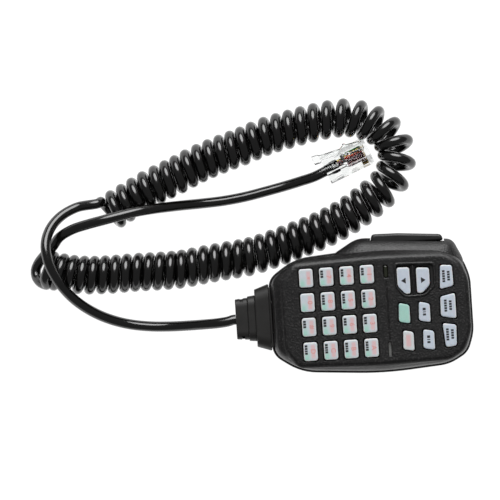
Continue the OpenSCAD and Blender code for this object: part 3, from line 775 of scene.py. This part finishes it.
def front_case():
    shell = loft(smooth_rings(
        levels(case_at, (18, 1.3), (18.2, 1.0), (18.7, 0.92), (21.5, 0.95), (25, 1.15),
               (27.2, 1.7), (28.7, 2.5))
        + levels(face_at, (29.9, -1.75), (30.6, -1.0), (30.93, -0.3), (FACE_Z, 0.5))))
    add(shell, loft(smooth_rings(levels(
        shoulder_at, (18, 0.4), (18.2, 0.1), (18.7, 0), (21, 0.7), (22.8, 1.9), (24, 3.3),
        (24.9, 5), (25.5, 7)))))
    carve(shell, loft(levels(case_at, (17, 2.9), (26, 3.1)) + levels(face_at, (29, 0.8))))
    carve(shell, loft(levels(shoulder_at, (17, 2), (21, 2.8), (23.5, 5.4))))
    for x, y, r in CASE_SCREWS:
        add(shell, post((x, y), SPLIT_Z, CEILING_Z + 0.5, 2 * r))
    for place in BOARD_SCREWS:
        add(shell, post(place, MAT_Z, CEILING_Z + 0.5, 3.4))
    add(shell, block([-7, 24.9, 21.8], [-1, 28.7, 24]))
    add(shell, ridge(BEZEL, 2, 1.15, 0.55, FACE_Z))
    carve(shell, pillow(grown(BEZEL, -WELL_INSET), 1.2, WELL_Z, 33, 0.25))
    add(shell, block([10.95, 5.9, 29.9], [11.95, 19.2, 31.1], 0.4))
    carve(shell, joined([rim_cutter(*key_outline(name), KEY_GAP + 0.12, 0.3, 28,
                                    WELL_Z if name in ("key_down", "key_up") else FACE_Z)
                         for name in PAD_KEYS + list(CONTROL_KEYS)]))
    carve(shell, joined([
        rim_cutter(rectangle(SLOT_SIZE, SLOT_PLACE), 0.55, 0, 0.4, 28, FACE_Z),
        rim_cutter(rectangle(LENS_SIZE, LENS_PLACE), 0.85, 0.12, 0.35, 28, FACE_Z),
        rod([LENS_PLACE[0], -13.5, FACE_Z + 0.05], [LENS_PLACE[0], 13, FACE_Z + 0.05], 0.75, 16)]))
    open_sides(shell)
    for x, y, r in CASE_SCREWS:
        carve(shell, post((x, y), 17.5, 25, 2.6))
    for place in BOARD_SCREWS:
        carve(shell, post(place, 21.1, 27, 2))
    carve(shell, post(HINGE, 21, 23.4, HINGE_HOLE_D))
    # the well's floor inside the bezel gets the near-black look, which is painted shade
    low, high = np.min(BEZEL, axis=0), np.max(BEZEL, axis=0)
    for polygon in shell.data.polygons:
        x, y, z = polygon.center
        in_painted_shade_well = low[0] < x < high[0] and low[1] < y < high[1] and 29 < z < FACE_Z - 0.3
        polygon.material_index = 1 if in_painted_shade_well else 0
    return finished(shell, "front_case", [CASE_LOOK, WELL_PAINTED_SHADE], "microphone", ["front_shell"])


def open_sides(shell):
    """Cuts the rooms for the lever and the boot, which both shells share."""
    carve(shell, prism(12.1, 21.9, np.array(LEVER_ROOM)))
    carve(shell, block([-54.3, -7, 11.4], [-48.2, 7, 19.1]))
    carve(shell, block([-50, -8.6, 10.8], [-48.2, 8.6, 19.7]))


def rear_case():
    shell = loft(smooth_rings(levels(
        case_at, (5.5, 8), (5.55, 7.3), (5.9, 6.2), (7, 4.2), (10, 1.7), (14, 0.3), (16.8, 0),
        (17.7, 0.05), (18, 0.35))))
    add(shell, loft(smooth_rings(levels(
        shoulder_at, (7.5, 5), (10, 2), (14, 0.4), (16.8, 0), (17.7, 0.05), (18, 0.35)))))
    carve(shell, loft(levels(case_at, (7.5, 8.2), (10.5, 4.2), (14.5, 2.4), (18.5, 2))))
    carve(shell, loft(levels(shoulder_at, (10, 6), (12, 3), (18.5, 2))))
    for x, y, _ in CASE_SCREWS:
        add(shell, post((x, y), 10, SPLIT_Z, 5.8))
    add(shell, post((0, 0), 6.5, 9, 9))
    add(shell, block([-7, 25.2, 9.6], [-1, 29.5, 12.2]))
    # a plain sunken panel for a label, with the stud in the middle of the back
    carve(shell, pillow(rectangle((17, 22), (22.5, 0)), 2, 4, 5.8, 0.15))
    open_sides(shell)
    for x, y, _ in CASE_SCREWS:
        carve(shell, post((x, y), 4, SCREW_SEAT_Z, 4.6))
        carve(shell, post((x, y), 5, 18.5, 2.9))
    carve(shell, post((0, 0), 5, 9.5, 3.3))
    carve(shell, post(HINGE, 10.4, 13, HINGE_HOLE_D))
    return finished(shell, "rear_case", CASE_LOOK, "microphone", ["rear_shell"])


# ---------------------------------------------------------------- screws and stud
def cross_screw(place, z_head, z_seat, z_tip, head_d, shank_d, facing):
    """A pan-head screw. facing is -1 if its head looks down and 1 if it looks up."""
    r, s = head_d / 2, shank_d / 2
    h = abs(z_head - z_seat)
    length = abs(z_tip - z_seat)
    profile = [(s * 0.3, length), (s * 0.75, length - 0.5)]
    for k in range(int((length - 1) / THREAD_PITCH)):
        at = length - THREAD_PITCH - THREAD_PITCH * k
        profile += [(s, at), (s * 0.8, at - THREAD_PITCH / 2)]
    profile += [(s * 0.8, 0.0), (r, 0.0), (r, -h * 0.35), (r * 0.92, -h * 0.68),
                (r * 0.7, -h * 0.93), (r * 0.35, -h)]
    screw = lathe([(a, -b) for a, b in profile], count=32)
    arm = r * 0.62
    for size in ((arm, 0.3), (0.3, arm)):
        carve(screw, block([-size[0], -size[1], h * 0.35], [size[0], size[1], h + 0.5]))
    if facing < 0:
        screw.data.transform(Matrix.Rotation(math.pi, 4, "X"))
    screw.data.transform(Matrix.Translation((place[0], place[1], z_seat)))
    return screw


def case_screw_set():
    screws = joined([cross_screw((x, y), 9.4, SCREW_SEAT_Z, 24.5, 4.2, 2.5, -1)
                     for x, y, _ in CASE_SCREWS])
    finished(screws, "case_screw_set", STEEL_LOOK, "microphone", ["case_screws"])
    screw = cross_screw((0, 0), 10.8, 9, 1.7, 5.8, 3, 1)
    finished(screw, "stud_screw", STEEL_LOOK, "microphone", ["hanger_screw"])
    screws = joined([cross_screw(place, 18.8, 20, 26, 3.4, 1.9, -1) for place in BOARD_SCREWS])
    finished(screws, "board_screw_set", STEEL_LOOK, "microphone", ["board_screws"])


def stud():
    obj = lathe([(5.9, 0), (6.25, 0.08), (6.5, 0.35), (6.5, 1.75), (6.35, 2.05), (6.0, 2.2),
                 (4.5, 2.25), (4.1, 2.45), (4, 2.9), (4, 5.5)], count=64)
    carve(obj, post((0, 0), 1.5, 6, 3.1))
    finished(obj, "hanger_button", LEVER_LOOK, "microphone", ["hanger_stud"])


# ---------------------------------------------------------------- the push-to-talk lever
def lever():
    low, high = LEVER_Z
    bar = pillow(LEVER_PAD, 1.6, low, high, 1.1, 6, 6)
    add(bar, post(HINGE, low, high, 4.4), block([-6, 27.9, low], [-2, 30, high]),
        post(HINGE, 10.8, 23.2, TRUNNION_D), block([15, 25.35, 15.5], [17, 30, 18.5], 0.25),
        block([22, 25.9, 14], [24, 30, 19], 0.2), block([23, 25.9, 15], [27.6, 27.1, 19], 0.2))
    finished(bar, "talk_bar", LEVER_LOOK, "lever", ["ptt_lever"])


# ---------------------------------------------------------------- the cord's boot
def collar(x0, size0, x1, size1, edge):
    """A rounded-off block along X, from one width and height to another."""
    def section(x, size, inset):
        flat = outline(grown(rectangle(size), -inset), min(size) / 3, 6, 2)
        return upright(x, flat + (0, BOOT_Z))

    turns = [math.radians(a) for a in (90, 67, 45, 22, 0)]
    rings = [section(x0 + edge * (1 - math.sin(a)), size0, edge * (1 - math.cos(a))) for a in turns]
    rings += [section(x1 - edge * (1 - math.sin(a)), size1, edge * (1 - math.cos(a)))
              for a in turns[::-1]]
    return loft(rings)


def boot():
    body = collar(-68.8, (18, 10.6), -63.2, (18.8, 11.2), 0.45)
    add(body, collar(-63.3, (20, 12.6), -59.8, (20.6, 13.2), 0.45),
        collar(-59.9, (26, 16), -53.4, (29.8, 18), 0.5),
        collar(-53.5, (13.6, 7.2), -49.6, (13.6, 7.2), 0.15),
        collar(-49.7, (16.8, 8.4), -48.5, (16.8, 8.4), 0.2),
        block([-53.9, -13.6, 18.2], [-52.5, 13.6, 23.3], 0.3))
    for side in (-1, 1):
        carve(body, block([-66.6, min(side * 7.6, side * 10), 11.5],
                          [-65.2, max(side * 7.6, side * 10), 23], 0.25))
    carve(body, rod([-70, 0, BOOT_Z], [-48, 0, BOOT_Z], CORD_D + 0.2, 32))
    finished(body, "cord_boot", RUBBER_LOOK, "microphone", ["strain_relief_boot"])


# ---------------------------------------------------------------- the keys
def key_cap(name):
    points, cut = key_outline(name)
    middle = np.mean(points, axis=0)
    low, high = np.min(points, axis=0), np.max(points, axis=0)

    def cap(d, z):
        return level(z, outline(grown(points, d), max(0.3, cut + d * 0.6), 6, 2))

    rim = cap(0, 0)
    angle = np.arctan2(rim[:, 1] - middle[1], rim[:, 0] - middle[0])

    def stem(r, z):
        return np.stack([middle[0] + r * np.cos(angle), middle[1] + r * np.sin(angle),
                         np.full(len(angle), float(z))], axis=1)

    rings = [stem(STEM_R - 0.2, 22.7), stem(STEM_R, 22.9), stem(STEM_R, FLANGE_Z),
             cap(0.4, FLANGE_Z), cap(0.5, FLANGE_Z + 0.1), cap(0.5, FLANGE_TOP_Z - 0.1),
             cap(0.4, FLANGE_TOP_Z), cap(0, FLANGE_TOP_Z), cap(0, 30.9)]
    for a in (0, 18, 36, 54, 72, 90):
        a = math.radians(a)
        rings.append(cap(-KEY_EDGE * (1 - math.cos(a)),
                         KEY_TOP - 0.06 - KEY_EDGE * (1 - math.sin(a))))
    rings += [cap(-0.75, KEY_TOP - 0.03), cap(-1.1, KEY_TOP - 0.01)]
    obj = loft(rings)
    place = obj.data.attributes.new("key_place", "FLOAT_VECTOR", "POINT")
    half = (high - low) / 2
    centre = (high + low) / 2
    values = []
    for v in obj.data.vertices:
        values += [(v.co.x - centre[0]) / half[0], (v.co.y - centre[1]) / half[1], 0]
    place.data.foreach_set("vector", values)
    # the cap's sides and flange below the face get the near-black skirt look, which is partly
    # painted shade in the gap
    for polygon in obj.data.polygons:
        polygon.material_index = 1 if polygon.center.z < 30.8 else 0
    return obj, centre


def painted(mesh, index):
    """Gives all of a mesh the look with this index."""
    mesh.polygons.foreach_set("material_index", [index] * len(mesh.polygons))


def lettering(text, place, z):
    """A sign as a thin plate, upright with the top end up."""
    data = bpy.data.curves.new("sign", "FONT")
    data.body = text
    data.size = SIGN_SIZE
    data.align_x = "CENTER"
    data.align_y = "CENTER"
    data.offset = 0.035
    data.extrude = SIGN_HALF_THICK
    data.resolution_u = 4
    holder = placed("sign", data)
    bpy.context.view_layer.update()
    depsgraph = bpy.context.evaluated_depsgraph_get()
    mesh = bpy.data.meshes.new_from_object(holder.evaluated_get(depsgraph))
    bpy.data.objects.remove(holder)
    xs = [v.co.x for v in mesh.vertices]
    ys = [v.co.y for v in mesh.vertices]
    mesh.transform(Matrix.Translation((-(min(xs) + max(xs)) / 2, -(min(ys) + max(ys)) / 2, 0)))
    mesh.transform(Matrix.Translation((place[0], place[1], z))
                   @ Matrix.Rotation(-math.pi / 2, 4, "Z"))
    painted(mesh, RED_INDEX)
    return placed("sign", mesh)


def plate(points, z):
    """A dark printed shape."""
    obj = prism(z - SIGN_HALF_THICK, z + SIGN_HALF_THICK, np.array(points, float))
    painted(obj.data, BLACK_INDEX)
    return obj


def bars(place, lengths, width, gap, z):
    """A row of short bars along Y, which stands for a word."""
    x0, x1 = place[0] - width / 2, place[0] + width / 2
    y = place[1]
    pieces = []
    for length in lengths:
        pieces.append(plate([[x0, y - length], [x1, y - length], [x1, y], [x0, y]], z))
        y -= length + gap
    return pieces


def with_parts(obj, parts):
    """The key's cap and its printed signs as one mesh, with their own looks."""
    bm = bmesh.new()
    bm.from_mesh(obj.data)
    for part in parts:
        bm.from_mesh(part.data)
        bpy.data.objects.remove(part)
    mesh = bpy.data.meshes.new("key")
    bm.to_mesh(mesh)
    bm.free()
    obj.data = mesh
    return obj


def pad_key(name):
    i = PAD_KEYS.index(name)
    obj, centre = key_cap(name)
    z = KEY_TOP - SIGN_SINK
    parts = [lettering(PAD_SIGNS[i], (centre[0] + 1.15, centre[1]), z)]
    if name not in ("key_star", "key_0"):
        parts += bars((centre[0] - 1.95, centre[1] + 3.0), PAD_BARS[i % 4], 1.25, 0.24, z)
    finished(with_parts(obj, parts), "cap_" + name[4:], [PAD_LOOK, SKIRT_PAINT_AND_SHADE, RED_INK, BLACK_INK],
             name, [name], weighted=False)


def control_key(name):
    obj, centre = key_cap(name)
    z = KEY_TOP - SIGN_SINK
    x, y = centre
    parts = []
    look = CONTROL_LOOK
    if name in ("key_down", "key_up"):
        way = -1 if name == "key_down" else 1
        tip = [[x - way * 0.95, y + 1.35], [x - way * 0.95, y - 1.35], [x + way * 1.15, y]]
        parts = [plate(tip if way > 0 else tip[::-1], z)]
    elif name == "key_green":
        look = GREEN_LOOK
    elif name == "key_red":
        look = RED_KEY_LOOK
    elif name in ("key_f1", "key_f2"):
        parts = bars((x, y + 1.9), [1.15, 0.4, 0.9], 1.35, 0.5, z)
    else:
        parts = bars((x + 1.1, y + 2.5), [0.85, 0.9, 0.9, 0.85], 1.2, 0.26, z)
        parts += bars((x - 1.1, y + 3), [0.9, 0.85, 0.85, 0.9, 0.85], 1.2, 0.26, z)
    finished(with_parts(obj, parts), "cap_" + name[4:], [look, SKIRT_PAINT_AND_SHADE, RED_INK, BLACK_INK],
             name, [name], weighted=False)


# ---------------------------------------------------------------- the plug
def to_plug(obj):
    """Moves a piece made along +X from the plug's rear to where the plug lies."""
    obj.data.transform(Matrix.Translation(PLUG_REAR) @ Matrix.Rotation(PLUG_TURN, 4, "Z")
                       @ Matrix.Rotation(PLUG_ROLL, 4, "X"))
    return obj


def along_x(points_yz, x0, x1, edge, cut):
    """A block along X with rounded ends, whose outline is given in Y and Z."""
    def section(x, inset):
        return upright(x, outline(grown(points_yz, -inset), cut, 4, 2))

    turns = [math.radians(a) for a in (90, 60, 30, 0)]
    rings = [section(x0 + edge * (1 - math.sin(a)), edge * (1 - math.cos(a))) for a in turns]
    rings += [section(x1 - edge * (1 - math.sin(a)), edge * (1 - math.cos(a)))
              for a in turns[::-1]]
    return loft(rings)


def plug_shell():
    body = along_x(rectangle((PLUG_W, PLUG_H)), 0, PLUG_L, 0.25, 0.35)
    add(body, block([18.5, -3, 2.9], [20.7, 3, PLUG_H / 2 + 0.8], 0.15))
    # the wide rear room for the jacket, narrowing to the flat room for the wires
    carve(body, loft([upright(x, outline(rectangle((w, h)), 0.45, 4, 2))
                      for x, w, h in ((-0.6, 9.4, 5.6), (0, 8.9, 5.2), (0.8, 8.5, 4.9),
                                      (8.6, 8.5, 4.9), (10.2, 8.6, 1.5), (19, 8.6, 1.2))]))
    carve(body, joined([block([16.3, y - 0.25, -4], [19.5, y + 0.25, -0.3]) for y in CONTACT_Y]))
    carve(body, block([20.5, -8, -5], [22, 8, -2.5]))
    # the window over the strain-relief bar that presses on the jacket
    carve(body, pillow(rectangle((3.2, 7.4), (4.6, 0)), 0.5, -4, -2.2, 0.2))
    to_plug(body)
    finished(body, "plug_shell", CLEAR_LOOK, "microphone", ["plug_body"])


def latch_arm():
    arm = pillow(both_sides([[-23, 2.4], [-20.2, 2.4], [-19.4, 1.6], [-9.8, 1.6], [-9.2, 2.1],
                             [-8.2, 3.1], [-0.2, 2.6]]), 0.25, -0.6, 0.6, 0.15, 3, 3)
    add(arm, rod([0, -2.6, 0], [0, 2.6, 0], 1.2), block([-8, -3.1, 0], [-6.8, -1.9, 1.4], 0.1),
        block([-8, 1.9, 0], [-6.8, 3.1, 1.4], 0.1))
    arm.data.transform(Matrix.Translation((PLUG_L - 2, 0, PLUG_H / 2 + LATCH_RISE))
                       @ Matrix.Rotation(LATCH_TILT, 4, "Y"))
    to_plug(arm)
    finished(arm, "latch_arm", CLEAR_LOOK, "latch", ["plug_latch"])


def contacts():
    """Eight gold blades, each with two teeth that pierce its wire."""
    side = [[16.5, -3], [19.3, -3], [19.3, -1.0], [19.0, -1.0], [18.75, -0.35], [18.45, -1.2],
            [17.4, -1.2], [17.1, -0.35], [16.85, -1.0], [16.5, -1.0]]
    blades = [loft([np.array([[x, y + s, z] for x, z in side]) for s in (0.17, -0.17)])
              for y in CONTACT_Y]
    finished(to_plug(joined(blades)), "gold_blades", GOLD_LOOK, "microphone", ["plug_contacts"])


def plug_leads():
    """Eight coloured wires that fan out from the jacket to the contacts."""
    wires = []
    for k, y in enumerate(CONTACT_Y):
        across = (k // 2 - (WAYS / 2 - 1) / 2) * 0.95
        height = 0.75 if k % 2 == 0 else -0.75
        line = smooth_line([[CORD_IN_PLUG - 0.4, across, height], [7.4, across * 1.15, height],
                            [9.4, (across + y) / 2, height * 0.45], [11.4, y, 0.02], [13.5, y, 0],
                            [18.6, y, 0]], step=0.35)
        wires.append(tube(line, 0.36, 10))
        painted(wires[-1].data, k)
    obj = to_plug(joined(wires))
    finished(obj, "plug_leads", WIRE_LOOKS, "microphone", ["plug_wires"])


def jacket_end():
    """The end of the cord's jacket, pressed wider where the plug grips it."""
    turn = np.arange(24) * 2 * math.pi / 24
    flat = np.stack([np.cos(turn), np.sin(turn)], axis=1) * 1.02 / 2
    rings = [upright(x, flat * (w, h))
             for x, w, h in ((-1.2, 4.5, 4.5), (0.6, 4.5, 4.5), (1.8, 4.8, 4.4), (3.2, 6.2, 4.1),
                             (5.2, 6.4, 4.1), (6.0, 6.0, 4.2), (6.4, 5.6, 4.0))]
    obj = to_plug(loft(smooth_rings(rings)))
    finished(obj, "jacket_end", CORD_LOOK, "microphone", [], weighted=False)


# ---------------------------------------------------------------- window and inner parts
def lens():
    points = rectangle((LENS_SIZE[0] - 0.1, LENS_SIZE[1] - 0.1), LENS_PLACE)
    foot = rectangle((2.8, 6.6), LENS_PLACE)
    rings = [level(z, outline(flat, 0.8, 5, 2))
             for z, flat in ((FLANGE_Z, foot), (28.8, foot), (28.85, points), (30.4, points))]
    for inset, z in ((0.08, 30.6), (0.25, 30.74), (0.5, 30.84), (0.75, 30.88)):
        rings.append(level(z, outline(grown(points, -inset), 0.8 - inset * 0.6, 5, 2)))
    finished(loft(rings), "lens_window", LENS_LOOK, "microphone", ["status_lens"])


NODE_LOOKS = {
    "ptt_switch": CHIP_LOOK, "ptt_plunger": RED_LOOK, "keypad_mat": SILICONE_LOOK,
    "main_board": BOARD_LOOK, "backlight_leds": LED_LOOK, "controller_chip": CHIP_LOOK,
    "small_chips": CHIP_LOOK, "board_socket": WHITE_LOOK, "sound_capsule": STEEL_LOOK,
    "capsule_holder": RUBBER_LOOK, "status_led": LED_LOOK, "cord_stub": CORD_LOOK,
    "cord_tie": WHITE_LOOK,
}


def dress_nodes():
    """The parts inside keep their CAD shape and get their own looks."""
    for name, look in NODE_LOOKS.items():
        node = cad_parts[name]
        node.data.materials.clear()
        node.data.materials.append(look)
    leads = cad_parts["inner_leads"]
    leads.data.materials.clear()
    for look in WIRE_LOOKS:
        leads.data.materials.append(look)
    low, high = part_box("inner_leads")
    for polygon in leads.data.polygons:
        y = (polygon.center.y - low[1]) / (high[1] - low[1])
        polygon.material_index = min(WAYS - 1, int(y * WAYS))


def floor():
    mesh = bpy.data.meshes.new("floor")
    corners = rectangle((2 * FLOOR_HALF, 2 * FLOOR_HALF))
    mesh.from_pydata([(x, y, FLOOR_Z) for x, y in corners], [], [(0, 1, 2, 3)])
    obj = placed("floor", mesh)
    look = new_look("white_sweep", (0.08, 0.08, 0.08), 0.9, Emission_Color=(1, 1, 1, 1),
                    Emission_Strength=1.02)
    mesh.materials.append(look)


camera_and_light()
cord, cord_length = make_cord(CORD_LOOK)
floor()
front_case()
rear_case()
case_screw_set()
stud()
lever()
boot()
for key in PAD_KEYS:
    pad_key(key)
for key in CONTROL_KEYS:
    control_key(key)
plug_shell()
latch_arm()
contacts()
plug_leads()
jacket_end()
lens()
dress_nodes()
